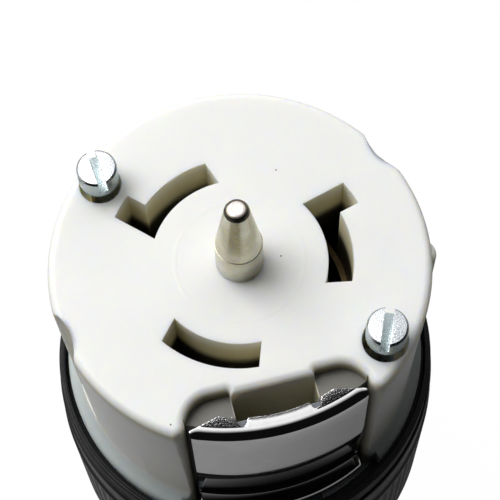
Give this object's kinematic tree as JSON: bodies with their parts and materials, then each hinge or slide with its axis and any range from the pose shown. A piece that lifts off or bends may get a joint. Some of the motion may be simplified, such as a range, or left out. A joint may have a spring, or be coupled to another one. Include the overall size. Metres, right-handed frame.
{
  "type": "welder plug adapter connector",
  "caption": "Round locking connector end of a welder plug adapter: white socket face with curved slots, guide pin and rim clip in a fluted black grip.",
  "frame": {"origin": "centre of the rear end of the cord clamp, on which the connector stands, in the middle of its box", "axes": "+Z along the connector axis, out of the contact face; -Y towards the ground clip"},
  "size_m": [0.0644, 0.0644, 0.1259],
  "materials": {
    "white_nylon": "moulded satin",
    "nickel": "satin nickel plate",
    "chrome_plate": "bright plate",
    "zinc_steel": "bright zinc plate",
    "brass": "plain",
    "carrier_plastic": "moulded matt",
    "seal_rubber": "moulded matt",
    "black_nylon": "moulded satin"
  },
  "bodies": {
    "root": {"face_body": "white_nylon", "guide_pin": "nickel", "guide_pin_nut": "zinc_steel", "ground_clip": "chrome_plate", "ground_lug": "brass", "ground_screw": "zinc_steel", "ground_plate": "brass", "terminal_carrier": "carrier_plastic", "seal_ring": "seal_rubber", "housing": "black_nylon", "cord_grommet": "seal_rubber", "cord_clamp_front": "black_nylon", "cord_clamp_back": "black_nylon", "line_contact_1": "brass", "terminal_screw_1": "zinc_steel", "pressure_plate_1": "brass", "line_contact_2": "brass", "terminal_screw_2": "zinc_steel", "pressure_plate_2": "brass", "line_contact_3": "brass", "terminal_screw_3": "zinc_steel", "pressure_plate_3": "brass", "assembly_screw_1": "zinc_steel", "threaded_insert_1": "brass", "clamp_screw_1": "zinc_steel", "clamp_nut_1": "zinc_steel", "assembly_screw_2": "zinc_steel", "threaded_insert_2": "brass", "clamp_screw_2": "zinc_steel", "clamp_nut_2": "zinc_steel"}
  },
  "joints": []
}
